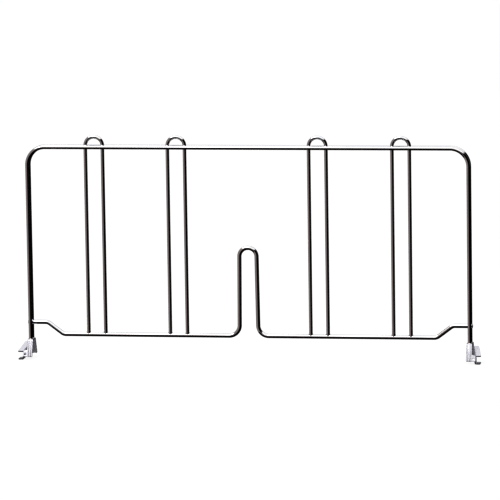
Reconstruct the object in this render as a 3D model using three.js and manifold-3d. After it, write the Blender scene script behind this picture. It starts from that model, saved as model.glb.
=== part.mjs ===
// A snap-in divider for wire shelving: two parallel bent frame wires with four hoops and one
// cranked lower wire welded between them, and a stamped spring clip under each end.
// Millimetres. +X runs along the divider, +Y away from its front side, +Z up. The origin lies midway
// between the two shelf rails that the clips grip, at the height of the rails' centres.
import * as THREE from "three";
import { mergeVertices } from "three/addons/utils/BufferGeometryUtils.js";
import Module from "manifold-3d";

const wasm = await Module();
wasm.setup();

// Wires
const FRAME_WIRE = 3.8; // diameters
const HOOP_WIRE = 3.5;
const LOWER_WIRE = 4.1;
const PAIR_PITCH = 8; // from the front frame wire's centre to the rear one's

// Frame outline, on wire centrelines
const HALF_SPAN = 220;
const BAR_Z = 208;
const FRAME_CORNER_RADIUS = 18;
const WIRE_END_Z = 15.6;

// Hoops: inverted U shapes that stand on the lower wire and rise past the top bar
const HOOP_CENTRES_X = [-153, -70.5, 70.5, 153];
const HOOP_WIDTH = 17.2;
const HOOP_TOP_Z = 218;

// Lower wire: end portions between the frame wires, a flat run, and a squeeze loop in the middle
const LOWER_Z = 20;
const LOWER_END_Z = 32;
const LOWER_END_X = 222.8;
const STEP_TOP_X = 203;
const STEP_FOOT_X = 187;
const STEP_RADIUS = 7;
const LOOP_TOP_Z = 108;
const LOOP_TOP_WIDTH = 17;
const LOOP_FOOT_WIDTH = 18.8;
const LOOP_FOOT_RADIUS = 10.5;

// Clips: u is measured outward from the frame wires' axis
const SHEET = 1;
const SHEET_BEND = 1.5; // centreline radius
const SADDLE_Z = WIRE_END_Z - 0.3 - SHEET / 2;
const SADDLE_HALF_DEPTH = 6;
const WING_BOTTOM = { y: 12.9, z: -1.6 };
const WING_HALF_WIDTH = 2.8;
const WING_CORNER = 1.2;
const RIB_RADIUS = 1.6;
const RIB_HEIGHT = 0.8;
const WING_START = 3; // from the saddle's corner down to where a wing's own plate and rib begin
const CHEEK_OUTER_U = 6.6;
const CHEEK_Z = { top: 4.5, bottom: -1.2 };
const REAR_CHEEK_OUTER_U = 4.6;
const REAR_CHEEK_Z = { top: 9, bottom: 2.5 };
const CHEEK_SLANT = 1; // how much higher a cheek begins on the wing than at its outer edge
const THROAT_U = 6.1;
const LIP_TIP_U = 11.8;
const LIP_Z = 3.7;
const LIP_WEB = 3; // how far the web reaches below the lip
const LIP_SKEW = { inward: 0.2, upward: 0.35 }; // by these shares of its depth towards the rear
const LIP_FRONT_Y = -10.9; // where the skewed lip is at its stated place
const HOOK_TIP_U = 11.1;
const HOOK_Z = -3.6;
const HOOK_REAR_Y = -3.5;
const HOOK_WEB_TOP = 1.7;
const CHEEK_HOLE = { u: 4.4, z: 1, diameter: 2.2 };

// Welds and the faceting of round shapes
const WELD_GAP = 0.1; // clearance that keeps each weld bead a solid of its own
const BEAD = { diameter: 3.6, length: 2.2, sides: 12 }; // between two wires that cross
const HOOP_COLLAR = { footDiameter: 4.7, height: 1.9 };
const CLIP_COLLAR = { footDiameter: 4.5, height: 0.9 };
const CUT = 12; // longer than any weld is deep, for cutting right through one
const TRIM = 3; // how far the jaws run on past the wings before they are trimmed flush
const WASTE = { across: 60, depth: 20 }; // larger than a clip
const SKIRT = 1; // how far a weld collar reaches below its foot, to be cut
const BEND_SLACK = 0.1; // keeps a short straight stretch between the two bends of a hoop or loop
const WIRE_SIDES = 16;
const ARC_STEP = THREE.MathUtils.degToRad(15);

const wireChrome = new THREE.MeshStandardMaterial({ color: 0xc4c6ca, roughness: 0.1, metalness: 1 });
const clipPlate = new THREE.MeshStandardMaterial({ color: 0xb9b8c0, roughness: 0.22, metalness: 1 });
const weldMetal = new THREE.MeshStandardMaterial({ color: 0xa9abb0, roughness: 0.3, metalness: 1 });

const assembly = new THREE.Group();

// ---- Shared shape tools -------------------------------------------------------------------

/** Points and directions along straight lines through corners [a, b, bend radius], with round bends. */
function roundedRoute(corners) {
  const places = corners.map(([a, b]) => new THREE.Vector2(a, b));
  const heading = (from, to) => places[to].clone().sub(places[from]).normalize();
  const last = corners.length - 1;
  return corners.flatMap(([, , radius], i) => {
    if (i === 0) return [{ point: places[0], tangent: heading(0, 1) }];
    if (i === last) return [{ point: places[last], tangent: heading(last - 1, last) }];
    return bend(places[i], heading(i - 1, i), heading(i, i + 1), radius);
  });
}

/** One round bend at a corner, as points and directions. */
function bend(corner, incoming, outgoing, radius) {
  const turn = Math.atan2(incoming.cross(outgoing), incoming.dot(outgoing));
  const side = Math.sign(turn) * radius;
  const leftOf = (v) => new THREE.Vector2(-v.y, v.x);
  const start = corner.clone().addScaledVector(incoming, -radius * Math.tan(Math.abs(turn) / 2));
  const centre = start.clone().addScaledVector(leftOf(incoming), side);
  const steps = Math.max(2, Math.ceil(Math.abs(turn) / ARC_STEP));
  return Array.from({ length: steps + 1 }, (_, k) => {
    const tangent = incoming.clone().rotateAround(new THREE.Vector2(), (turn * k) / steps);
    return { point: centre.clone().addScaledVector(leftOf(tangent), -side), tangent };
  });
}

/** A wire's route in the XZ plane, with a section only where the route needs one. */
class WireRoute extends THREE.Curve {
  constructor(corners) {
    super();
    this.stations = roundedRoute(corners);
  }

  get segments() {
    return this.stations.length - 1;
  }

  getPointAt(u, target = new THREE.Vector3()) {
    const { point } = this.stations[Math.round(u * this.segments)];
    return target.set(point.x, 0, point.y);
  }

  getTangentAt(u, target = new THREE.Vector3()) {
    const { tangent } = this.stations[Math.round(u * this.segments)];
    return target.set(tangent.x, 0, tangent.y);
  }
}

function wireGeometry(corners, diameter) {
  const section = new THREE.Shape(
    Array.from({ length: WIRE_SIDES }, (_, k) => {
      const angle = (k / WIRE_SIDES) * 2 * Math.PI;
      return new THREE.Vector2(Math.cos(angle), Math.sin(angle)).multiplyScalar(diameter / 2);
    }),
  );
  const extrudePath = new WireRoute(corners);
  return new THREE.ExtrudeGeometry(section, { extrudePath, steps: extrudePath.segments });
}

/** The outline of a bent sheet, from the centreline of its profile. */
function sheetOutline(corners) {
  const stations = roundedRoute(corners);
  const offset = (distance) => ({ point, tangent }) =>
    new THREE.Vector2(point.x - tangent.y * distance, point.y + tangent.x * distance);
  const right = stations.map(offset(-SHEET / 2));
  const left = stations.map(offset(SHEET / 2)).reverse();
  return new THREE.Shape([...right, ...left]);
}

function extruded(shape, depth) {
  return new THREE.ExtrudeGeometry(shape, { depth, bevelEnabled: false, curveSegments: 6 });
}

function solidOf(geometry) {
  const bare = geometry.clone();
  bare.deleteAttribute("normal");
  bare.deleteAttribute("uv");
  const merged = mergeVertices(bare, 1e-4);
  return new wasm.Manifold(
    new wasm.Mesh({
      numProp: 3,
      vertProperties: merged.attributes.position.array,
      triVerts: new Uint32Array(merged.index.array),
    }),
  );
}

function geometryOf(solid) {
  const { vertProperties, triVerts } = solid.getMesh();
  const geometry = new THREE.BufferGeometry();
  geometry.setAttribute("position", new THREE.BufferAttribute(vertProperties, 3));
  geometry.setIndex(new THREE.BufferAttribute(triVerts, 1));
  return geometry;
}

/** A cylinder along x, y or z through a point, for cutting and for weld beads. */
function rod(axis, diameter, length, at = [0, 0, 0], sides = WIRE_SIDES) {
  const geometry = new THREE.CylinderGeometry(diameter / 2, diameter / 2, length, sides);
  if (axis === "x") geometry.rotateZ(Math.PI / 2);
  if (axis === "z") geometry.rotateX(Math.PI / 2);
  return solidOf(geometry.translate(...at));
}

function add(name, geometry, material, position = [0, 0, 0]) {
  const mesh = new THREE.Mesh(geometry, material);
  mesh.name = name;
  mesh.position.set(...position);
  assembly.add(mesh);
  return mesh;
}

// ---- Wires --------------------------------------------------------------------------------

function addFrameWires() {
  const geometry = wireGeometry(
    [
      [-HALF_SPAN, WIRE_END_Z],
      [-HALF_SPAN, BAR_Z, FRAME_CORNER_RADIUS],
      [HALF_SPAN, BAR_Z, FRAME_CORNER_RADIUS],
      [HALF_SPAN, WIRE_END_Z],
    ],
    FRAME_WIRE,
  );
  add("frame_wire_front", geometry, wireChrome, [0, -PAIR_PITCH / 2, 0]);
  add("frame_wire_rear", geometry, wireChrome, [0, PAIR_PITCH / 2, 0]);
}

function addLowerWire() {
  const rightHalf = [
    [LOOP_TOP_WIDTH / 2, LOOP_TOP_Z, LOOP_TOP_WIDTH / 2 - BEND_SLACK],
    [LOOP_FOOT_WIDTH / 2, LOWER_Z, LOOP_FOOT_RADIUS],
    [STEP_FOOT_X, LOWER_Z, STEP_RADIUS],
    [STEP_TOP_X, LOWER_END_Z, STEP_RADIUS],
    [LOWER_END_X, LOWER_END_Z],
  ];
  const leftHalf = rightHalf.map(([x, ...rest]) => [-x, ...rest]).reverse();
  add("lower_wire", wireGeometry([...leftHalf, ...rightHalf], LOWER_WIRE), wireChrome);
}

const HOOP_FOOT_Z = LOWER_Z + LOWER_WIRE / 2 + WELD_GAP;

function addHoops() {
  const side = HOOP_WIDTH / 2;
  const geometry = wireGeometry(
    [
      [-side, HOOP_FOOT_Z],
      [-side, HOOP_TOP_Z, side - BEND_SLACK],
      [side, HOOP_TOP_Z, side - BEND_SLACK],
      [side, HOOP_FOOT_Z],
    ],
    HOOP_WIRE,
  );
  HOOP_CENTRES_X.forEach((x, i) => add(`hoop_${i + 1}`, geometry, wireChrome, [x, 0, 0]));
}

// ---- Welds --------------------------------------------------------------------------------

/** The bead round the place where an upright wire at y = 0 and a level wire in front of it cross. */
function crossWeld(uprightWire, levelWire) {
  const bead = rod("y", BEAD.diameter, BEAD.length, [0, -PAIR_PITCH / 4, 0], BEAD.sides);
  const upright = rod("z", uprightWire.diameter + 2 * WELD_GAP, CUT, [0, uprightWire.y, 0]);
  const level = rod("x", levelWire.diameter + 2 * WELD_GAP, CUT, [0, levelWire.y, 0]);
  return geometryOf(bead.subtract(upright).subtract(level));
}

/** A tapered collar at the butted end of an upright wire. It reaches a little below z = 0, to be cut. */
function weldCollar(diameter, { footDiameter, height }) {
  const inner = diameter / 2 + WELD_GAP;
  const shoulder = (footDiameter / 2 - inner) / 2;
  const profile = [
    [inner, -SKIRT],
    [footDiameter / 2, -SKIRT],
    [footDiameter / 2, WELD_GAP],
    [inner + shoulder, height / 2],
    [inner + shoulder / 2, height],
    [inner, height],
    [inner, -SKIRT],
  ];
  const points = profile.map(([r, z]) => new THREE.Vector2(r, z));
  return solidOf(new THREE.LatheGeometry(points, WIRE_SIDES).rotateX(Math.PI / 2));
}

/** A hoop leg's collar, hollowed underneath to sit astride the lower wire. */
function hoopFootWeld() {
  const wireTop = LOWER_WIRE / 2;
  const seat = rod("x", LOWER_WIRE + 2 * WELD_GAP, CUT, [0, 0, -wireTop]);
  return geometryOf(weldCollar(HOOP_WIRE, HOOP_COLLAR).subtract(seat));
}

/** A frame wire's collar, cut flat where it stands on the clip's saddle. */
function wireEndWeld() {
  const below = rod("z", CUT, CUT, [0, 0, -CUT / 2]);
  return geometryOf(weldCollar(FRAME_WIRE, CLIP_COLLAR).subtract(below));
}

function addHoopWelds() {
  const leg = { diameter: HOOP_WIRE, y: 0 };
  const bar = { diameter: FRAME_WIRE, y: -PAIR_PITCH / 2 };
  const crossing = crossWeld(leg, bar);
  const foot = hoopFootWeld();
  HOOP_CENTRES_X.forEach((centre, i) => {
    for (const [side, sign] of [["left", -1], ["right", 1]]) {
      const x = centre + (sign * HOOP_WIDTH) / 2;
      const name = `weld_hoop_${i + 1}_${side}`;
      add(`${name}_bar_front`, crossing, weldMetal, [x, 0, BAR_Z]);
      add(`${name}_bar_rear`, crossing, weldMetal, [x, 0, BAR_Z]).rotation.z = Math.PI;
      add(`${name}_foot`, foot, weldMetal, [x, 0, HOOP_FOOT_Z - WELD_GAP]);
    }
  });
}

function addEndWelds() {
  const upright = { diameter: FRAME_WIRE, y: -PAIR_PITCH / 2 };
  const level = { diameter: LOWER_WIRE, y: 0 };
  const crossing = crossWeld(upright, level);
  const collar = wireEndWeld();
  for (const [side, sign] of [["left", -1], ["right", 1]]) {
    const x = sign * HALF_SPAN;
    add(`weld_lower_wire_${side}_front`, crossing, weldMetal, [x, 0, LOWER_END_Z]);
    add(`weld_lower_wire_${side}_rear`, crossing, weldMetal, [x, 0, LOWER_END_Z])
      .rotation.z = Math.PI;
    for (const [face, y] of [["front", -PAIR_PITCH / 2], ["rear", PAIR_PITCH / 2]]) {
      const foot = SADDLE_Z + SHEET / 2 + WELD_GAP;
      add(`weld_clip_${side}_${face}`, collar, weldMetal, [x, y, foot]);
    }
  }
}

// ---- Clips --------------------------------------------------------------------------------

const WING_RISE = SADDLE_Z - WING_BOTTOM.z;
const WING_ANGLE = Math.atan2(WING_BOTTOM.y - SADDLE_HALF_DEPTH, WING_RISE);
const WING_LENGTH = WING_RISE / Math.cos(WING_ANGLE);
const WING_TOP_Z = WING_BOTTOM.z + WING_LENGTH - WING_START; // in the wing's own plane
const SADDLE_OVERLAP = 4; // how far the saddle's ends run down the wings

/** Puts a shape drawn in a wing's own plane (u outward, z as if upright) onto the flared front wing. */
function ontoWing(geometry) {
  geometry.translate(0, -WING_BOTTOM.z - WING_LENGTH, -SHEET / 2);
  geometry.rotateX(Math.PI / 2 - WING_ANGLE);
  return geometry.translate(0, -SADDLE_HALF_DEPTH, SADDLE_Z);
}

/** The saddle on which both frame wires stand, with the start of each wing. */
function saddle() {
  const y = SADDLE_HALF_DEPTH + SADDLE_OVERLAP * Math.sin(WING_ANGLE);
  const z = SADDLE_Z - SADDLE_OVERLAP * Math.cos(WING_ANGLE);
  const profile = sheetOutline([
    [-y, z],
    [-SADDLE_HALF_DEPTH, SADDLE_Z, SHEET_BEND],
    [SADDLE_HALF_DEPTH, SADDLE_Z, SHEET_BEND],
    [y, z],
  ]);
  const geometry = extruded(profile, 2 * WING_HALF_WIDTH);
  geometry.translate(0, 0, -WING_HALF_WIDTH);
  // the profile was drawn as (y, z): turn it to stand across the divider
  return solidOf(geometry.rotateX(Math.PI / 2).rotateZ(Math.PI / 2));
}

/** A wing with a cheek on its outward edge between two heights, and round lower corners. */
function wingShape(cheekOuterU, cheekZ) {
  const bottom = WING_BOTTOM.z;
  const shape = new THREE.Shape();
  shape.moveTo(-WING_HALF_WIDTH, WING_TOP_Z);
  shape.lineTo(-WING_HALF_WIDTH, bottom + WING_CORNER);
  shape.quadraticCurveTo(-WING_HALF_WIDTH, bottom, -WING_HALF_WIDTH + WING_CORNER, bottom);
  shape.lineTo(WING_HALF_WIDTH - WING_CORNER, bottom);
  shape.lineTo(WING_HALF_WIDTH, cheekZ.bottom);
  shape.lineTo(cheekOuterU, cheekZ.bottom);
  shape.lineTo(cheekOuterU, cheekZ.top);
  shape.lineTo(WING_HALF_WIDTH, cheekZ.top + CHEEK_SLANT);
  shape.lineTo(WING_HALF_WIDTH, WING_TOP_Z);
  return shape;
}

/** A wing's plate with the round rib that stiffens it from top to bottom, in the place of the front one. */
function wing(shape) {
  const halfChord = Math.sqrt(RIB_RADIUS ** 2 - (RIB_RADIUS - RIB_HEIGHT) ** 2);
  const reach = Math.asin(halfChord / RIB_RADIUS);
  const section = new THREE.Shape();
  section.moveTo(halfChord, 0);
  section.absarc(0, RIB_HEIGHT - RIB_RADIUS, RIB_RADIUS, Math.PI / 2 - reach, Math.PI / 2 + reach);
  section.lineTo(-halfChord, -SHEET / 2);
  section.lineTo(halfChord, -SHEET / 2);
  const rib = extruded(section, WING_TOP_Z - WING_BOTTOM.z);
  rib.rotateX(Math.PI / 2).translate(0, WING_TOP_Z, SHEET);
  return solidOf(ontoWing(extruded(shape, SHEET))).add(solidOf(ontoWing(rib)));
}

function frontWing() {
  const shape = wingShape(CHEEK_OUTER_U, CHEEK_Z);
  const hole = new THREE.Path();
  hole.absarc(CHEEK_HOLE.u, CHEEK_HOLE.z, CHEEK_HOLE.diameter / 2, 0, 2 * Math.PI, true);
  shape.holes.push(hole);
  return wing(shape);
}

function rearWing() {
  return wing(wingShape(REAR_CHEEK_OUTER_U, REAR_CHEEK_Z)).mirror([0, 1, 0]);
}

/** A sheet bent to an L or U profile in (u, z), run along the depth from one y to another. */
function channel(corners, fromY, toY) {
  const geometry = extruded(sheetOutline(corners), toY - fromY);
  return geometry.rotateX(Math.PI / 2).translate(0, toY, 0);
}

/** The upper lip and the web behind it, skewed towards the rear wing. */
function lip() {
  const geometry = channel(
    [
      [THROAT_U, LIP_Z - LIP_WEB],
      [THROAT_U, LIP_Z, SHEET],
      [LIP_TIP_U, LIP_Z],
    ],
    LIP_FRONT_Y - TRIM,
    WING_BOTTOM.y,
  );
  geometry.translate(0, -LIP_FRONT_Y, 0);
  geometry.applyMatrix4(new THREE.Matrix4().makeShear(0, 0, -LIP_SKEW.inward, LIP_SKEW.upward, 0, 0));
  return solidOf(geometry.translate(0, LIP_FRONT_Y, 0));
}

/** How far a wing's outer face stands from the middle plane at a height. */
function wingFaceY(z) {
  return SADDLE_HALF_DEPTH + (SADDLE_Z - z) * Math.tan(WING_ANGLE) + SHEET / 2 / Math.cos(WING_ANGLE);
}

/** The lower hook, behind the front wing only. Below the cheek its front edge is upright. */
function hook() {
  return solidOf(
    channel(
      [
        [THROAT_U, HOOK_WEB_TOP],
        [THROAT_U, HOOK_Z, SHEET],
        [HOOK_TIP_U, HOOK_Z],
      ],
      -wingFaceY(CHEEK_Z.bottom),
      HOOK_REAR_Y,
    ),
  );
}

/** What lies outside the front wing's outer face, to trim the lip and the hook flush with it. */
function frontWaste() {
  const waste = new THREE.BoxGeometry(WASTE.across, WASTE.across, WASTE.depth);
  waste.translate(0, 0, (SHEET + WASTE.depth) / 2);
  waste.rotateX(Math.PI / 2 - WING_ANGLE);
  return solidOf(waste.translate(0, -SADDLE_HALF_DEPTH, SADDLE_Z));
}

function addClips() {
  const front = frontWaste();
  const rear = front.mirror([0, 1, 0]);
  const jaws = lip().add(hook()).subtract(front).subtract(rear);
  const geometry = geometryOf(saddle().add(frontWing()).add(rearWing()).add(jaws));
  add("clip_right", geometry, clipPlate, [HALF_SPAN, 0, 0]);
  add("clip_left", geometry, clipPlate, [-HALF_SPAN, 0, 0]).scale.x = -1;
}

addFrameWires();
addLowerWire();
addHoops();
addHoopWelds();
addEndWelds();
addClips();

export default assembly;
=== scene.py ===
"""Looks for the wire shelf divider: smooth chromed wires, weld beads and two stamped clips.

Dimensions are in millimetres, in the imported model's frame, and MM turns them into Blender's metres.
"""
import math

import bmesh
import bpy
from mathutils import Matrix, Vector


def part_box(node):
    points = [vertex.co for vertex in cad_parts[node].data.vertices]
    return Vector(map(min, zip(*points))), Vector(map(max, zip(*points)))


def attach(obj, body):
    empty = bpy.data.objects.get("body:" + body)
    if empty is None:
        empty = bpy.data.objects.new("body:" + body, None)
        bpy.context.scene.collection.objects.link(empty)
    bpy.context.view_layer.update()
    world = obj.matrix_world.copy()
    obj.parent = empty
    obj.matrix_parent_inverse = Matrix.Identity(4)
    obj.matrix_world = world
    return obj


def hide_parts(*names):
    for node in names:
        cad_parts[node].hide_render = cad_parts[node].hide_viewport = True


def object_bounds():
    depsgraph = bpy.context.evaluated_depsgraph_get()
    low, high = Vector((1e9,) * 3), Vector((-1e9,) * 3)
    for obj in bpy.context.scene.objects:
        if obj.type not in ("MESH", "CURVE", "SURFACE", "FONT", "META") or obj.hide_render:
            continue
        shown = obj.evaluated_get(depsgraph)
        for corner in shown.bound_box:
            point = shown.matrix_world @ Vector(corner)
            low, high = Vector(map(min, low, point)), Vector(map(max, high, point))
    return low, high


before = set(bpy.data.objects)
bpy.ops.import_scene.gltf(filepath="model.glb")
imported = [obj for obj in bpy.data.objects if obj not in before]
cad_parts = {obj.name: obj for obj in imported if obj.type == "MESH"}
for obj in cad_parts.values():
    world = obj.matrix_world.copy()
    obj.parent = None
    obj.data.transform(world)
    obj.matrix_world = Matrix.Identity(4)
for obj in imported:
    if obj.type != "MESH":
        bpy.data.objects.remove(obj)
cad_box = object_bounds()

MM = 0.001
SIDES = ("left", "right")
FACES = ("front", "rear")
HOOPS = range(1, 5)

# Wires: what the frame's boxes don't say
WIRE_SIDES = 32
BEND_STEP = math.radians(5)
END_CHAMFER = 0.35
WIRE_CREASE = 40  # degrees, as are the other creases: sharper folds are shaded as edges
FRAME_CORNER_RADIUS = 18
STEP_TOP_X = 203
STEP_FOOT_X = 187
STEP_RADIUS = 7
LOOP_TOP_WIDTH = 17
LOOP_FOOT_WIDTH = 18.8
LOOP_FOOT_RADIUS = 10.5
BEND_SLACK = 0.1  # keeps a short straight stretch between the two bends of a hoop or loop

# Clips: u runs outward from the frame wires' axis
SHEET = 1
SHEET_BEND = 1.5
SHEET_EDGE = 0.22
SADDLE_HALF_DEPTH = 6
WING_BOTTOM_Y = 12.9
WING_BOTTOM_Z = -1.6
WING_HALF_WIDTH = 2.8
WING_CORNER = 1.2
RIB_RADIUS = 1.6
RIB_HEIGHT = 0.8
RIB_START = 1.6  # how far below the saddle's bend a rib is at full height
CHEEK_SHEET = 0.96
CHEEK_BEVEL = 0.12
CHEEK_SLANT = 1  # how much higher a cheek's top is at the wing than at its outer edge
HOLE_SIDES = 24
# A hole is its u, its z and its diameter
FRONT_CHEEK = {"outer_u": 6.6, "top": 4.5, "bottom": -1.2, "hole": (4.4, 1.0, 2.2)}
REAR_CHEEK = {"outer_u": 4.6, "top": 9.0, "bottom": 2.5, "hole": None}
THROAT_U = 6.1
LIP_TIP_U = 11.8
LIP_Z = 3.7
LIP_WEB = 3
LIP_INWARD = 0.2
LIP_UPWARD = 0.35
LIP_FRONT_Y = -10.9
HOOK_TIP_U = 11.1
HOOK_REAR_Y = -3.5
HOOK_WEB_TOP = 1.7
JAW_BEND = 1
JAW_CORNER = 0.9
FLUSH = 0.03

# Camera: a compromise that keeps the bars nearly level and the sides nearly upright
VIEW_AZIMUTH = math.radians(9)
VIEW_ELEVATION = math.radians(8)
VIEW_ROLL = math.radians(-0.85)
VIEW_DISTANCE = 4.4
VIEW_TARGET = Vector((0.00216, 0, 0.1059))
LENS = 320.5
SENSOR = 36


def box_mm(node):
    low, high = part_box(node)
    return low / MM, high / MM


def centre_mm(node):
    low, high = box_mm(node)
    return (low + high) / 2


# Driving sizes read back from the frame
frame_low, frame_high = box_mm("frame_wire_front")
FRAME_WIRE = frame_high.y - frame_low.y
FRAME_Y = -centre_mm("frame_wire_front").y
HALF_SPAN = frame_high.x - FRAME_WIRE / 2
BAR_Z = frame_high.z - FRAME_WIRE / 2
WIRE_END_Z = frame_low.z
lower_low, lower_high = box_mm("lower_wire")
LOWER_WIRE = lower_high.y - lower_low.y
LOWER_Z = lower_low.z + LOWER_WIRE / 2
LOWER_END_X = lower_high.x
LOWER_END_Z = centre_mm("weld_lower_wire_right_front").z
LOOP_TOP_Z = lower_high.z - LOWER_WIRE / 2
hoop_low, hoop_high = box_mm("hoop_1")
HOOP_WIRE = hoop_high.y - hoop_low.y
HOOP_WIDTH = hoop_high.x - hoop_low.x - HOOP_WIRE
HOOP_TOP_Z = hoop_high.z - HOOP_WIRE / 2
HOOP_FOOT_Z = LOWER_Z + LOWER_WIRE / 2
clip_low, clip_high = box_mm("clip_right")
SADDLE_Z = clip_high.z - SHEET / 2
HOOK_Z = clip_low.z + SHEET / 2
WING_SLOPE = (WING_BOTTOM_Y - SADDLE_HALF_DEPTH) / (SADDLE_Z - WING_BOTTOM_Z)
WING_ANGLE = math.atan(WING_SLOPE)
WING_LENGTH = (SADDLE_Z - WING_BOTTOM_Z) / math.cos(WING_ANGLE)


# ---- Materials ------------------------------------------------------------------------------

def new_material(name, colour, roughness, metallic=1.0):
    """A material, a metal unless it says otherwise, and its one Principled shader."""
    material = bpy.data.materials.new(name)
    material.use_nodes = True
    shader = material.node_tree.nodes["Principled BSDF"]
    shader.inputs["Metallic"].default_value = metallic
    shader.inputs["Base Color"].default_value = (*colour, 1)
    shader.inputs["Roughness"].default_value = roughness
    return material, shader


def add_node(owner, kind, settings=None, **inputs):
    """Adds a node to a material or a world. An input is a value or another node's output socket."""
    tree = owner.node_tree
    node = tree.nodes.new(kind)
    for name, value in (settings or {}).items():
        setattr(node, name, value)
    for name, value in inputs.items():
        socket = node.inputs[name.replace("_", " ")]
        if isinstance(value, bpy.types.NodeSocket):
            tree.links.new(value, socket)
        else:
            socket.default_value = value
    return node


def noise(owner, coordinates, scale, detail=3.0, roughness=0.5):
    made = add_node(owner, "ShaderNodeTexNoise", Vector=coordinates, Scale=scale, Detail=detail,
                    Roughness=roughness)
    return made.outputs["Fac"]


def stretched(owner, coordinates, scale):
    return add_node(owner, "ShaderNodeMapping", Vector=coordinates, Scale=scale).outputs["Vector"]


def between(owner, factor, low, high, spread=(0.3, 0.7)):
    """A number that runs from low to high as the factor crosses the spread."""
    made = add_node(owner, "ShaderNodeMapRange", Value=factor, From_Min=spread[0], From_Max=spread[1],
                    To_Min=low, To_Max=high)
    return made.outputs["Result"]


def tinted(owner, factor, first, second, spread=(0.3, 0.7)):
    """A colour that runs from the first to the second as the factor crosses the spread."""
    ramp = add_node(owner, "ShaderNodeValToRGB", Fac=factor)
    for element, place, colour in zip(ramp.color_ramp.elements, spread, (first, second)):
        element.position = place
        element.color = (*colour, 1)
    return ramp.outputs["Color"]


def bumped(owner, height, distance, normal=None):
    """The normal of a relief that deep in metres, laid over another normal if one is given."""
    inputs = {"Height": height, "Distance": distance, "Strength": 1.0}
    if normal:
        inputs["Normal"] = normal
    return add_node(owner, "ShaderNodeBump", **inputs).outputs["Normal"]


def connect(material, shader, **outputs):
    for name, output in outputs.items():
        material.node_tree.links.new(output, shader.inputs[name.replace("_", " ")])


def wire_chrome():
    """Bright plating: faint lines from drawing the wire, a cloudy tint and a very fine pebble."""
    material, shader = new_material("wire_chrome", (0.86, 0.86, 0.87), 0.06)
    along = add_node(material, "ShaderNodeUVMap", {"uv_map": "along_wire"}).outputs["UV"]
    place = add_node(material, "ShaderNodeTexCoord").outputs["Object"]
    cloud = noise(material, place, scale=45, detail=2)
    pebble = noise(material, place, scale=1400, detail=2)
    draw_lines = noise(material, stretched(material, along, (5200, 60, 1)), scale=1, detail=2)
    patches = noise(material, place, scale=260, detail=4)
    soft_normal = bumped(material, pebble, distance=1.2e-6)
    connect(
        material, shader,
        Base_Color=tinted(material, cloud, (0.84, 0.85, 0.88), (0.90, 0.885, 0.87)),
        Roughness=between(material, patches, 0.02, 0.06),
        Normal=bumped(material, draw_lines, distance=1.6e-6, normal=soft_normal),
    )
    return material


def clip_plate():
    """Duller plating on rolled sheet: brush lines, small pits and a slightly mauve tint."""
    material, shader = new_material("clip_plate", (0.72, 0.71, 0.76), 0.24, metallic=0.6)
    place = add_node(material, "ShaderNodeTexCoord").outputs["Object"]
    cloud = noise(material, place, scale=130, detail=3)
    brushed = noise(material, stretched(material, place, (3800, 3800, 240)), scale=1, detail=2)
    pits = noise(material, place, scale=2600, detail=2)
    stain = noise(material, place, scale=420, detail=5, roughness=0.6)
    fine_normal = bumped(material, pits, distance=2.0e-6)
    connect(
        material, shader,
        Base_Color=tinted(material, cloud, (0.66, 0.65, 0.70), (0.74, 0.73, 0.76)),
        Roughness=between(material, stain, 0.1, 0.2),
        Normal=bumped(material, brushed, distance=3.0e-6, normal=fine_normal),
    )
    return material


def painted_dark_edge():
    """The sheared edges of the sheet: darker, a painted dark reflection in the base colour, with fine tear
    lines across the sheet's thickness.
    """
    material, shader = new_material("painted_dark_edge", (0.16, 0.155, 0.17), 0.35)
    place = add_node(material, "ShaderNodeTexCoord").outputs["Object"]
    tears = noise(material, place, scale=3400, detail=3)
    stain = noise(material, place, scale=700, detail=4)
    connect(
        material, shader,
        Base_Color=tinted(material, stain, (0.11, 0.105, 0.115), (0.22, 0.215, 0.235)),
        Roughness=between(material, tears, 0.26, 0.46),
        Normal=bumped(material, tears, distance=1.0e-5),
    )
    return material


def weld_metal():
    """Plated weld bead: rippled, less bright than the wire, with a trace of straw from the heat."""
    material, shader = new_material("weld_metal", (0.74, 0.73, 0.72), 0.2)
    place = add_node(material, "ShaderNodeTexCoord").outputs["Object"]
    heat = noise(material, place, scale=520, detail=3)
    ripple = noise(material, place, scale=1500, detail=3)
    spatter = add_node(material, "ShaderNodeTexVoronoi", Vector=place, Scale=1900.0).outputs["Distance"]
    soft_normal = bumped(material, ripple, distance=1.6e-5)
    connect(
        material, shader,
        Base_Color=tinted(material, heat, (0.70, 0.70, 0.73), (0.80, 0.77, 0.70)),
        Roughness=between(material, ripple, 0.12, 0.32),
        Normal=bumped(material, spatter, distance=8.0e-6, normal=soft_normal),
    )
    return material


CHROME = wire_chrome()
PLATE = clip_plate()
# the clips' second material: sheet edges darkened by a painted dark reflection
PAINTED_DARK_EDGE = painted_dark_edge()
WELD = weld_metal()


# ---- Shared shape tools ---------------------------------------------------------------------

def heading(start, end):
    return (Vector(end[:2]) - Vector(start[:2])).normalized()


def bend(corner, incoming, outgoing, radius):
    """Points and directions round one bend at a corner."""
    turn = math.atan2(incoming.cross(outgoing), incoming.dot(outgoing))
    side = math.copysign(radius, turn)
    start = Vector(corner[:2]) - incoming * radius * math.tan(abs(turn) / 2)
    centre = start + left_of(incoming) * side
    steps = max(2, math.ceil(abs(turn) / BEND_STEP))
    stations = []
    for k in range(steps + 1):
        tangent = Matrix.Rotation(turn * k / steps, 2) @ incoming
        stations.append((centre - left_of(tangent) * side, tangent))
    return stations


def left_of(direction):
    return Vector((-direction.y, direction.x))


def rounded_route(corners):
    """Points and directions along straight lines through corners (a, b, bend radius)."""
    stations = [(Vector(corners[0][:2]), heading(corners[0], corners[1]))]
    for before, corner, after in zip(corners, corners[1:], corners[2:]):
        stations += bend(corner, heading(before, corner), heading(corner, after), corner[2])
    stations.append((Vector(corners[-1][:2]), heading(corners[-2], corners[-1])))
    return stations


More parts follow.
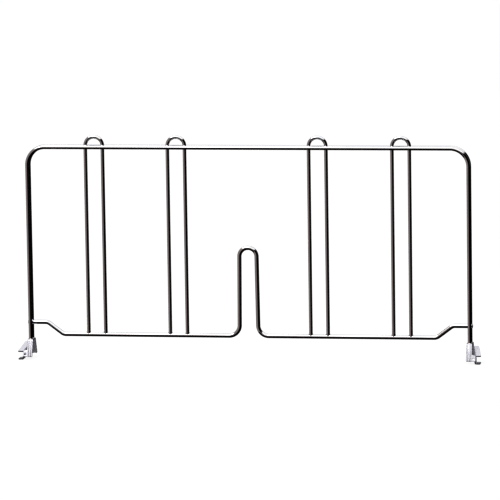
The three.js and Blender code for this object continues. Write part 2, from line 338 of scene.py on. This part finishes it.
def skin(mesh, rings):
    """Faces between rings of vertices, with a cap on each end. Returns the caps."""
    for ring, following in zip(rings, rings[1:]):
        for k in range(len(ring)):
            after = (k + 1) % len(ring)
            mesh.faces.new((ring[k], ring[after], following[after], following[k]))
    return [mesh.faces.new(reversed(rings[0])), mesh.faces.new(rings[-1])]


def piece(name, mesh, material, slot, *nodes):
    """Makes the object of a finished mesh, in place of the CAD nodes that it stands for."""
    bmesh.ops.recalc_face_normals(mesh, faces=mesh.faces)
    data = bpy.data.meshes.new(name)
    mesh.to_mesh(data)
    mesh.free()
    data.transform(Matrix.Scale(MM, 4))
    data.materials.append(material)
    return join_object(bpy.data.objects.new(name, data), slot, *nodes)


def join_object(item, slot, *nodes):
    bpy.context.scene.collection.objects.link(item)
    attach(item, "root")
    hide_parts(*nodes)
    return item


def shade(data, crease_degrees):
    """Smooth shading, with an edge kept wherever the surface folds by more than the crease."""
    for polygon in data.polygons:
        polygon.use_smooth = True
    data.set_sharp_from_angle(angle=math.radians(crease_degrees))


# ---- Wires ----------------------------------------------------------------------------------

def wire(name, corners, diameter, y=0.0, x=0.0):
    """A round wire bent in an upright plane, with a small chamfer round each cut end."""
    radius = diameter / 2
    stations = rounded_route(corners)
    (start, first), (end, last) = stations[0], stations[-1]
    sections = [(start, first, radius - END_CHAMFER), (start + first * END_CHAMFER, first, radius)]
    sections += [(point, tangent, radius) for point, tangent in stations[1:-1]]
    sections += [(end - last * END_CHAMFER, last, radius), (end, last, radius - END_CHAMFER)]
    mesh = bmesh.new()
    rings = [wire_ring(mesh, section, x, y) for section in sections]
    skin(mesh, rings)
    unwrap_along(mesh, sections, radius)
    item = piece(f"{name}_plated", mesh, CHROME, "wire_chrome", name)
    shade(item.data, WIRE_CREASE)


def wire_ring(mesh, section, x, y):
    point, tangent, radius = section
    normal = left_of(tangent)
    ring = []
    for k in range(WIRE_SIDES):
        angle = 2 * math.pi * k / WIRE_SIDES
        across = point + normal * radius * math.cos(angle)
        ring.append(mesh.verts.new((x + across.x, y + radius * math.sin(angle), across.y)))
    return ring


def unwrap_along(mesh, sections, radius):
    """A UV map in metres: u round the wire, v along it."""
    lengths = [0.0]
    for (point, _, _), (following, _, _) in zip(sections, sections[1:]):
        lengths.append(lengths[-1] + (following - point).length)
    layer = mesh.loops.layers.uv.new("along_wire")
    mesh.verts.index_update()
    for face in mesh.faces:
        turns = [loop.vert.index % WIRE_SIDES for loop in face.loops]
        seam = len(face.verts) == 4 and max(turns) - min(turns) > 1
        for loop, turn in zip(face.loops, turns):
            around = (turn + WIRE_SIDES if seam and turn == 0 else turn) / WIRE_SIDES
            along = lengths[loop.vert.index // WIRE_SIDES]
            loop[layer].uv = (around * 2 * math.pi * radius * MM, along * MM)


def add_frame_wires():
    corners = [
        (-HALF_SPAN, WIRE_END_Z),
        (-HALF_SPAN, BAR_Z, FRAME_CORNER_RADIUS),
        (HALF_SPAN, BAR_Z, FRAME_CORNER_RADIUS),
        (HALF_SPAN, WIRE_END_Z),
    ]
    wire("frame_wire_front", corners, FRAME_WIRE, y=-FRAME_Y)
    wire("frame_wire_rear", corners, FRAME_WIRE, y=FRAME_Y)


def add_lower_wire():
    right_half = [
        (LOOP_TOP_WIDTH / 2, LOOP_TOP_Z, LOOP_TOP_WIDTH / 2 - BEND_SLACK),
        (LOOP_FOOT_WIDTH / 2, LOWER_Z, LOOP_FOOT_RADIUS),
        (STEP_FOOT_X, LOWER_Z, STEP_RADIUS),
        (STEP_TOP_X, LOWER_END_Z, STEP_RADIUS),
        (LOWER_END_X, LOWER_END_Z),
    ]
    left_half = [(-x, *rest) for x, *rest in reversed(right_half)]
    wire("lower_wire", left_half + right_half, LOWER_WIRE)


def add_hoops():
    side = HOOP_WIDTH / 2
    corners = [
        (-side, HOOP_FOOT_Z),
        (-side, HOOP_TOP_Z, side - BEND_SLACK),
        (side, HOOP_TOP_Z, side - BEND_SLACK),
        (side, HOOP_FOOT_Z),
    ]
    for number in HOOPS:
        wire(f"hoop_{number}", corners, HOOP_WIRE, x=centre_mm(f"hoop_{number}").x)


# ---- Weld beads -----------------------------------------------------------------------------

BEAD_SIDES = 28
BEAD_RINGS = 7
BEAD_SINK = 0.12  # how far a bead's rims run into the metal that they join
BEAD_CREASE = 50
BEAD_LOBES = ((0.05, 3, 1.7), (0.03, 5, -2.3))  # size, number round the bead, and turn for each seed
CROSSING_LONG = 1.75  # a crossing bead's half length along each wire
CROSSING_SHORT = 1.35  # its half width across each wire
CROSSING_NECK = 1.2  # the radius that it is drawn in towards where the wires touch
CORNER_OUT = 0.08  # a foot bead is drawn in towards a corner this far outside the wire
CORNER_UP = 0.15  # and this far above what the wire stands on
HOOP_FOOT_HEIGHT = 1.5
HOOP_FOOT_REACH = (2.7, 1.85)
CLIP_FOOT_HEIGHT = 0.8
CLIP_FOOT_REACH = (2.3, 2.3)


def unevenness(angle, seed):
    """A factor near 1 that keeps a bead from being perfectly regular."""
    return 1 + sum(size * math.sin(count * angle + turn * seed) for size, count, turn in BEAD_LOBES)


def bead(node, start_rim, waist, end_rim, seed):
    """A fillet from one rim to another, drawn in towards a waist. Each of the three is a function of
    the angle round the bead and of its unevenness there, and gives a point."""
    mesh = bmesh.new()
    rings = []
    for step in range(BEAD_RINGS):
        t = step / (BEAD_RINGS - 1)
        ring = []
        for k in range(BEAD_SIDES):
            angle = 2 * math.pi * k / BEAD_SIDES
            uneven = unevenness(angle, seed)
            point = ((1 - t) ** 2 * start_rim(angle, uneven) + 2 * t * (1 - t) * waist(angle, uneven)
                     + t ** 2 * end_rim(angle, uneven))
            ring.append(mesh.verts.new(point))
        rings.append(ring)
    skin(mesh, rings)
    item = piece(f"{node}_bead", mesh, WELD, "weld_metal", node)
    shade(item.data, BEAD_CREASE)


def on_rod(radius, offset):
    """How far a round wire's surface stands from its axis plane at an offset across it."""
    return math.sqrt(max(radius ** 2 - offset ** 2, 0))


def crossing_bead(node, x, z, upright, level, seed):
    """The nugget squeezed out between an upright and a level wire, each a (diameter, y) pair."""
    upright_radius, level_radius = upright[0] / 2, level[0] / 2
    towards_level = math.copysign(1, level[1] - upright[1])
    long, short, neck = CROSSING_LONG, CROSSING_SHORT, CROSSING_NECK

    def on_upright(angle, uneven):
        dx, dz = short * uneven * math.cos(angle), long * uneven * math.sin(angle)
        surface = upright[1] + towards_level * (on_rod(upright_radius, dx) - BEAD_SINK)
        return Vector((x + dx, surface, z + dz))

    def on_level(angle, uneven):
        dx, dz = long * uneven * math.cos(angle), short * uneven * math.sin(angle)
        surface = level[1] - towards_level * (on_rod(level_radius, dz) - BEAD_SINK)
        return Vector((x + dx, surface, z + dz))

    def neck_point(angle, uneven):
        touch = (upright[1] + towards_level * upright_radius + level[1] - towards_level * level_radius) / 2
        return Vector((x + neck * uneven * math.cos(angle), touch, z + neck * uneven * math.sin(angle)))

    bead(node, on_upright, neck_point, on_level, seed)


def foot_bead(node, x, y, base_z, radius, base_radius, height, reach, seed):
    """The fillet round a wire's end that stands on a lying wire, or on a flat sheet (base_radius None)."""
    def base(dx, dy):
        return 0 if base_radius is None else on_rod(base_radius, dy) - base_radius

    def on_wire(angle, uneven):
        rim = radius - BEAD_SINK
        return Vector((x + rim * math.cos(angle), y + rim * math.sin(angle), base_z + height * uneven))

    def corner(angle, uneven):
        rim = radius + CORNER_OUT
        dx, dy = rim * math.cos(angle), rim * math.sin(angle)
        return Vector((x + dx, y + dy, base_z + base(dx, dy) + CORNER_UP))

    def on_base(angle, uneven):
        dx, dy = reach[0] * uneven * math.cos(angle), reach[1] * math.sin(angle)
        return Vector((x + dx, y + dy, base_z + base(dx, dy) - BEAD_SINK))

    bead(node, on_wire, corner, on_base, seed)


def add_hoop_beads():
    for number in HOOPS:
        for side, sign in zip(SIDES, (-1, 1)):
            x = centre_mm(f"hoop_{number}").x + sign * HOOP_WIDTH / 2
            node = f"weld_hoop_{number}_{side}"
            seed = 2 * number + sign
            for face, y in zip(FACES, (-FRAME_Y, FRAME_Y)):
                crossing_bead(f"{node}_bar_{face}", x, BAR_Z, (HOOP_WIRE, 0), (FRAME_WIRE, y), seed + y)
            foot_bead(f"{node}_foot", x, 0, HOOP_FOOT_Z, HOOP_WIRE / 2, LOWER_WIRE / 2,
                      HOOP_FOOT_HEIGHT, HOOP_FOOT_REACH, seed)


def add_end_beads():
    for side, sign in zip(SIDES, (-1, 1)):
        x = sign * HALF_SPAN
        for face, y in zip(FACES, (-FRAME_Y, FRAME_Y)):
            node = f"weld_lower_wire_{side}_{face}"
            crossing_bead(node, x, LOWER_END_Z, (FRAME_WIRE, y), (LOWER_WIRE, 0), sign + y)
            foot_bead(f"weld_clip_{side}_{face}", x, y, clip_high.z, FRAME_WIRE / 2, None,
                      CLIP_FOOT_HEIGHT, CLIP_FOOT_REACH, sign - y)


# ---- Clips ----------------------------------------------------------------------------------

CLIP_CREASE = 32
ARC_PARTS = 4
ACROSS_PARTS = 22
STATION_SPACING = 0.5
ROUNDED_SHARE = 0.95  # the most of the sheet's half thickness that its edge's rounding takes
MERGE_DISTANCE = 1e-4
FLAT_ENOUGH = 0.9  # how nearly a cheek's face must look along the sheet's normal not to be an edge


def inset_at(distance, radius):
    """How far a round corner of that radius pulls an edge in, at a distance from the end."""
    if distance >= radius:
        return 0
    return radius - math.sqrt(radius ** 2 - (radius - distance) ** 2)


def with_round_ends(stations, corner):
    """Stations with their inset, and more of them where the sheet's end corners are round."""
    distances = sorted({part * size / ARC_PARTS for size in (SHEET_EDGE, corner)
                        for part in range(ARC_PARTS + 1)})
    (start, first), (end, last) = stations[0], stations[-1]
    opening = [(start + first * d, first, d) for d in distances]
    closing = [(end - last * d, last, d) for d in reversed(distances)]
    middle = [(point, tangent, corner) for point, tangent in stations[1:-1]]
    return opening + filled(middle) + closing


def filled(stations):
    """Stations with more of them along the straight stretches, where a rib can rise and fall."""
    result = stations[:1]
    for (start, _, _), (end, tangent, distance) in zip(stations, stations[1:]):
        parts = max(1, round((end - start).length / STATION_SPACING))
        result += [(start.lerp(end, k / parts), tangent, distance) for k in range(1, parts + 1)]
    return result


def sheet_section(low, high, half_thickness, rib):
    """The outline of the sheet's section as (across, off) pairs, with round edges and a rib."""
    edge = min(SHEET_EDGE, ROUNDED_SHARE * half_thickness)
    inner = (low + edge, high - edge)
    flat = [inner[0] + (inner[1] - inner[0]) * k / ACROSS_PARTS for k in range(ACROSS_PARTS + 1)]
    quarter = [math.pi / 2 * k / ARC_PARTS for k in range(1, ARC_PARTS + 1)]
    right = [(inner[1] + edge * math.sin(a), half_thickness - edge + edge * math.cos(a)) for a in quarter]
    right += [(across, -off) for across, off in reversed(right)]
    left = [(low + high - across, -off) for across, off in right]
    top = [(across, half_thickness) for across in flat]
    bottom = [(across, -half_thickness) for across in reversed(flat)]
    outline = top + right[:-1] + bottom + left[:-1]
    return [(across, off + rib * rib_profile(across)) for across, off in outline]


def rib_profile(across):
    """The height of a round pressed rib over its strip's middle line."""
    return max(on_rod(RIB_RADIUS, across) - (RIB_RADIUS - RIB_HEIGHT), 0)


def bent_sheet(corners, edges, place, corner=0.0, rib=lambda point: 0):
    """A strip of sheet bent along a route. edges gives its two edges at a point of the route, place
    turns (point of the section, across) into x, y and z, and rib says how far the rib is raised."""
    mesh = bmesh.new()
    rings = []
    for point, tangent, distance in with_round_ends(rounded_route(corners), max(corner, SHEET_EDGE)):
        low, high = edges(point)
        pulled = max(inset_at(distance, SHEET_EDGE), inset_at(distance, corner) if corner else 0)
        half_thickness = SHEET / 2 - inset_at(distance, SHEET_EDGE)
        section = sheet_section(low + pulled, high - pulled, half_thickness, rib(point))
        normal = left_of(tangent)
        rings.append([mesh.verts.new(place(point + normal * off, across)) for across, off in section])
    skin(mesh, rings)
    mark_edges(mesh, len(rings), len(rings[0]))
    return solid(mesh)


def mark_edges(mesh, ring_count, ring_size):
    """Gives the second material, the edges' painted dark reflection, to the faces round a bent sheet's
    edges and at its ends.
    """
    side = ring_size // 2
    end_rings = (0, ring_count - 1)
    mesh.verts.index_update()
    for face in mesh.faces:
        places = [vert.index % ring_size for vert in face.verts]
        rows = [vert.index // ring_size for vert in face.verts]
        on_face = all(place % side <= ACROSS_PARTS for place in places) and len(face.verts) == 4
        in_end = any(row in end_rings for row in rows)
        face.material_index = 0 if on_face and not in_end else 1


def solid(mesh):
    """A temporary object of a closed mesh, for a union."""
    bmesh.ops.recalc_face_normals(mesh, faces=mesh.faces)
    data = bpy.data.meshes.new("clip_stock")
    mesh.to_mesh(data)
    mesh.free()
    data.materials.append(PLATE)
    # the second slot: sheet edges darkened by a painted dark reflection
    data.materials.append(PAINTED_DARK_EDGE)
    item = bpy.data.objects.new("clip_stock", data)
    bpy.context.scene.collection.objects.link(item)
    return item


def smooth_step(share):
    share = min(max(share, 0), 1)
    return share * share * (3 - 2 * share)


def wing_face_y(z):
    """How far the wings' outer faces stand from the middle plane at a height."""
    return SADDLE_HALF_DEPTH + (SADDLE_Z - z) * WING_SLOPE + SHEET / 2 / math.cos(WING_ANGLE) - FLUSH


def tent():
    """The saddle and both wings, one strip with round lower corners and a rib down to each wing's foot."""
    def rib(point):
        return smooth_step((SADDLE_Z - SHEET_BEND - point.y) / RIB_START)

    return bent_sheet(
        [
            (-WING_BOTTOM_Y, WING_BOTTOM_Z),
            (-SADDLE_HALF_DEPTH, SADDLE_Z, SHEET_BEND),
            (SADDLE_HALF_DEPTH, SADDLE_Z, SHEET_BEND),
            (WING_BOTTOM_Y, WING_BOTTOM_Z),
        ],
        edges=lambda point: (-WING_HALF_WIDTH, WING_HALF_WIDTH),
        place=lambda point, across: (across, point.x, point.y),
        corner=WING_CORNER,
        rib=rib,
    )


def cheek(outer_u, top, bottom, hole, rear=False):
    """A plate in a wing's plane that carries the jaws, with the hole in the front one."""
    curve = bpy.data.curves.new("clip_stock", "CURVE")
    curve.dimensions = "2D"
    curve.fill_mode = "BOTH"
    curve.bevel_depth = CHEEK_BEVEL
    curve.bevel_resolution = 2
    curve.offset = -CHEEK_BEVEL
    curve.extrude = CHEEK_SHEET / 2 - CHEEK_BEVEL
    inner_u = RIB_RADIUS
    root_top = top + CHEEK_SLANT
    outline = [(inner_u, bottom), (outer_u, bottom), (outer_u, top), (WING_HALF_WIDTH, root_top)]
    outline.append((inner_u, root_top))
    add_loop(curve, outline)
    if hole:
        u, z, diameter = hole
        angles = [2 * math.pi * k / HOLE_SIDES for k in range(HOLE_SIDES)]
        add_loop(curve, [(u + diameter / 2 * math.cos(a), z + diameter / 2 * math.sin(a)) for a in angles])
    item = bpy.data.objects.new("clip_stock", curve)
    bpy.context.scene.collection.objects.link(item)
    flare = Matrix.Rotation(math.pi / 2 - WING_ANGLE, 4, "X")
    slide = Matrix.Translation((0, -WING_BOTTOM_Z - WING_LENGTH, 0))
    lift = Matrix.Translation((0, -SADDLE_HALF_DEPTH, SADDLE_Z))
    mirror = Matrix.Diagonal((1, -1 if rear else 1, 1, 1))
    return evaluated_solid(item, mirror @ lift @ flare @ slide)


def add_loop(curve, points):
    spline = curve.splines.new("POLY")
    spline.points.add(len(points) - 1)
    spline.use_cyclic_u = True
    for place, (a, b) in zip(spline.points, points):
        place.co = (a, b, 0, 1)


def evaluated_solid(item, transform):
    """The mesh that a temporary curve makes, put in place as a closed solid."""
    bpy.context.view_layer.update()
    data = bpy.data.meshes.new_from_object(item.evaluated_get(bpy.context.evaluated_depsgraph_get()))
    bpy.data.objects.remove(item)
    data.transform(transform)
    mesh = bmesh.new()
    mesh.from_mesh(data)
    bmesh.ops.remove_doubles(mesh, verts=mesh.verts, dist=MERGE_DISTANCE)
    mesh.normal_update()
    plate_normal = (transform.to_3x3() @ Vector((0, 0, 1))).normalized()
    for face in mesh.faces:
        # faces off the plate's flat sides get the edges' painted dark reflection
        face.material_index = 0 if abs(face.normal.dot(plate_normal)) > FLAT_ENOUGH else 1
    return solid(mesh)


def lip():
    """The upper lip and its web, which run inward and upward towards the rear. The front and rear edges
    are where the raised sheet meets the wings' outer faces."""
    share = LIP_UPWARD * WING_SLOPE
    front = (-wing_face_y(LIP_Z) - share * LIP_FRONT_Y) / (1 - share)

    def edges(point):
        return (front, (wing_face_y(point.y) + share * LIP_FRONT_Y) / (1 + share))

    def place(point, across):
        depth = across - LIP_FRONT_Y
        return (point.x - LIP_INWARD * depth, across, point.y + LIP_UPWARD * depth)

    corners = [(THROAT_U, LIP_Z - LIP_WEB), (THROAT_U, LIP_Z, JAW_BEND), (LIP_TIP_U, LIP_Z)]
    return bent_sheet(corners, edges, place, corner=JAW_CORNER)


def hook():
    """The lower hook and its web, behind the front wing only."""
    corners = [(THROAT_U, HOOK_WEB_TOP), (THROAT_U, HOOK_Z, JAW_BEND), (HOOK_TIP_U, HOOK_Z)]
    front = wing_face_y(FRONT_CHEEK["bottom"])
    return bent_sheet(
        corners,
        edges=lambda point: (-min(front, wing_face_y(point.y)), HOOK_REAR_Y),
        place=lambda point, across: (point.x, across, point.y),
        corner=JAW_CORNER,
    )


def union(base, *others):
    for other in others:
        step = base.modifiers.new("join", "BOOLEAN")
        step.operation = "UNION"
        step.solver = "MANIFOLD"
        step.object = other
    bpy.context.view_layer.update()
    data = bpy.data.meshes.new_from_object(base.evaluated_get(bpy.context.evaluated_depsgraph_get()))
    for item in (base, *others):
        bpy.data.objects.remove(item)
    return data


def add_clips():
    shape = union(tent(), cheek(**FRONT_CHEEK), cheek(**REAR_CHEEK, rear=True), lip(), hook())
    shade(shape, CLIP_CREASE)
    for side, sign in zip(SIDES, (-1, 1)):
        data = shape.copy()
        data.name = f"clip_{side}_plated"
        data.transform(Matrix.Translation((sign * HALF_SPAN, 0, 0)) @ Matrix.Diagonal((sign, 1, 1, 1)))
        if sign < 0:
            data.flip_normals()
        data.transform(Matrix.Scale(MM, 4))
        join_object(bpy.data.objects.new(data.name, data), "clip_plate", f"clip_{side}")
    bpy.data.meshes.remove(shape)


# ---- Studio ---------------------------------------------------------------------------------

FLOOR_SIZE = 60.0
FLOOR_DROP = 0.0002
KEY_SIZE = (2.4, 1.6)
KEY_POWER = 25
KEY_PLACE = (-1.2, -1.4, 2.6)
KEY_AIM = Vector((0, 0, 0.1))
BLACK_FLAG = (0.002, 0.002, 0.003)
WALL_NEAR_MIDDLE = (0.33, 0.30, 0.29)
WALL_AT_SIDE = (0.42, 0.385, 0.375)
TENT_WHITE = (1.13, 1.13, 1.14)
BACKDROP_GREY = (0.25, 0.255, 0.27)
PLAIN_WHITE = (1.0, 1.0, 1.0)
# Where each part of the studio fades in or out, as values of the direction's x, y or z
WALL_EDGE_X = (-0.05, 0.1)
WALL_SHADING_X = (-1, 0)
WALL_FOOT_Z = (-0.18, -0.12)
WALL_FOOT_DROP = 0.5  # how much lower the wall's foot is at its side than in the middle
TENT_FOOT_Z = (0.08, 0.22)
TENT_FOOT_RISE = 0.75  # how much higher the tent's foot is at either side than in the middle
BACKDROP_EDGE_Y = (0.55, 0.7)
BACKDROP_FOOT_Z = (-0.12, -0.06)
BACKDROP_TOP_Z = (0.5, 0.65)
FLOOR_ALBEDO = 0.15
FLOOR_ROUGHNESS = 0.9
FLOOR_GLOW = 0.86
DISPLAY_GAMMA = 0.6  # deepens the middle tones, which keeps thin wires from fading on white


def add_camera():
    a, e, roll = VIEW_AZIMUTH, VIEW_ELEVATION, VIEW_ROLL
    back = Vector((math.sin(a) * math.cos(e), -math.cos(a) * math.cos(e), math.sin(e)))
    level = Vector((math.cos(a), math.sin(a), 0))
    upward = back.cross(level)
    right = level * math.cos(roll) + upward * math.sin(roll)
    up = upward * math.cos(roll) - level * math.sin(roll)
    data = bpy.data.cameras.new("camera")
    data.lens = LENS
    data.sensor_width = SENSOR
    data.clip_end = 100
    camera = bpy.data.objects.new("camera", data)
    turn = Matrix((right, up, back)).transposed().to_4x4()
    camera.matrix_world = Matrix.Translation(VIEW_TARGET + back * VIEW_DISTANCE) @ turn
    bpy.context.scene.collection.objects.link(camera)
    bpy.context.scene.camera = camera


def add_floor():
    """A plain floor, lit mostly from within like a light table, so that it comes out just white and
    nearly without shadow. Were it brighter, it would eat into the thin wires at their edges. Polished
    wires would mirror it whole, so it is kept out of reflections."""
    mesh = bmesh.new()
    bmesh.ops.create_grid(mesh, x_segments=1, y_segments=1, size=FLOOR_SIZE / 2)
    data = bpy.data.meshes.new("floor")
    mesh.to_mesh(data)
    mesh.free()
    floor = bpy.data.objects.new("floor", data)
    floor.location.z = cad_box[0].z - FLOOR_DROP
    floor.visible_glossy = False
    material, shader = new_material("floor", (FLOOR_ALBEDO,) * 3, FLOOR_ROUGHNESS, metallic=0)
    shader.inputs["Emission Color"].default_value = (1, 1, 1, 1)
    shader.inputs["Emission Strength"].default_value = FLOOR_GLOW
    shader.inputs["Specular IOR Level"].default_value = 0
    data.materials.append(material)
    bpy.context.scene.collection.objects.link(floor)


def add_key_light():
    data = bpy.data.lights.new("key", "AREA")
    data.shape = "RECTANGLE"
    data.size, data.size_y = KEY_SIZE
    data.energy = KEY_POWER
    light = bpy.data.objects.new("key", data)
    light.location = KEY_PLACE
    light.rotation_euler = (KEY_AIM - light.location).to_track_quat("-Z", "Y").to_euler()
    bpy.context.scene.collection.objects.link(light)


def add_world():
    """White all round for the floor and the eye, and a studio for what polished metal mirrors."""
    world = bpy.data.worlds.new("studio")
    world.use_nodes = True
    world.node_tree.nodes.clear()
    bpy.context.scene.world = world
    rays = add_node(world, "ShaderNodeLightPath").outputs
    colour = blended(world, rays["Is Diffuse Ray"], mirrored_studio(world), PLAIN_WHITE)
    colour = blended(world, rays["Is Camera Ray"], colour, PLAIN_WHITE)
    background = add_node(world, "ShaderNodeBackground", Color=colour)
    output = add_node(world, "ShaderNodeOutputWorld")
    world.node_tree.links.new(background.outputs["Background"], output.inputs["Surface"])


def mirrored_studio(world):
    """By direction: a white tent overhead, a grey wall on the left that reaches lower towards the side,
    a grey backdrop behind, and black flags low down in front and on the right."""
    direction = add_node(world, "ShaderNodeTexCoord").outputs["Generated"]
    axes = add_node(world, "ShaderNodeSeparateXYZ", Vector=direction).outputs
    x, y, z = (axes[name] for name in "XYZ")
    sideways = add_node(world, "ShaderNodeMath", {"operation": "ABSOLUTE"}, Value=x).outputs[0]

    foot_drop = between(world, sideways, 0, WALL_FOOT_DROP, spread=(0, 1))
    wall_height = combined(world, "ADD", z, foot_drop)
    wall_share = combined(
        world,
        "MULTIPLY",
        between(world, x, 1, 0, spread=WALL_EDGE_X),
        between(world, wall_height, 0, 1, spread=WALL_FOOT_Z),
    )
    wall_shading = between(world, x, 1, 0, spread=WALL_SHADING_X)
    wall = blended(world, wall_shading, WALL_NEAR_MIDDLE, WALL_AT_SIDE)

    tent_rise = between(world, sideways, 0, TENT_FOOT_RISE, spread=(0, 1))
    tent_height = combined(world, "SUBTRACT", z, tent_rise)
    tent_share = between(world, tent_height, 0, 1, spread=TENT_FOOT_Z)

    behind = between(world, y, 0, 1, spread=BACKDROP_EDGE_Y)
    above_foot = between(world, z, 0, 1, spread=BACKDROP_FOOT_Z)
    below_top = between(world, z, 1, 0, spread=BACKDROP_TOP_Z)
    backdrop_height = combined(world, "MULTIPLY", above_foot, below_top)
    backdrop_share = combined(world, "MULTIPLY", behind, backdrop_height)

    colour = blended(world, wall_share, BLACK_FLAG, wall)
    colour = blended(world, tent_share, colour, TENT_WHITE)
    return blended(world, backdrop_share, colour, BACKDROP_GREY)


def combined(world, operation, first, second):
    """The sum, difference or product of two numbers, each given as a socket."""
    made = add_node(world, "ShaderNodeMath", {"operation": operation})
    world.node_tree.links.new(first, made.inputs[0])
    world.node_tree.links.new(second, made.inputs[1])
    return made.outputs[0]


def blended(world, factor, first, second):
    """A mix of two colours, each given as numbers or as a socket."""
    made = add_node(world, "ShaderNodeMix", {"data_type": "RGBA"})
    sockets = {socket.identifier: socket for socket in made.inputs}
    for name, value in (("Factor_Float", factor), ("A_Color", first), ("B_Color", second)):
        if isinstance(value, bpy.types.NodeSocket):
            world.node_tree.links.new(value, sockets[name])
        else:
            sockets[name].default_value = (*value, 1)
    results = {socket.identifier: socket for socket in made.outputs}
    return results["Result_Color"]


def set_colours():
    settings = bpy.context.scene.view_settings
    settings.view_transform = "Standard"
    settings.look = "None"
    settings.gamma = DISPLAY_GAMMA


add_camera()
add_floor()
add_key_light()
add_world()
set_colours()
add_frame_wires()
add_lower_wire()
add_hoops()
add_hoop_beads()
add_end_beads()
add_clips()
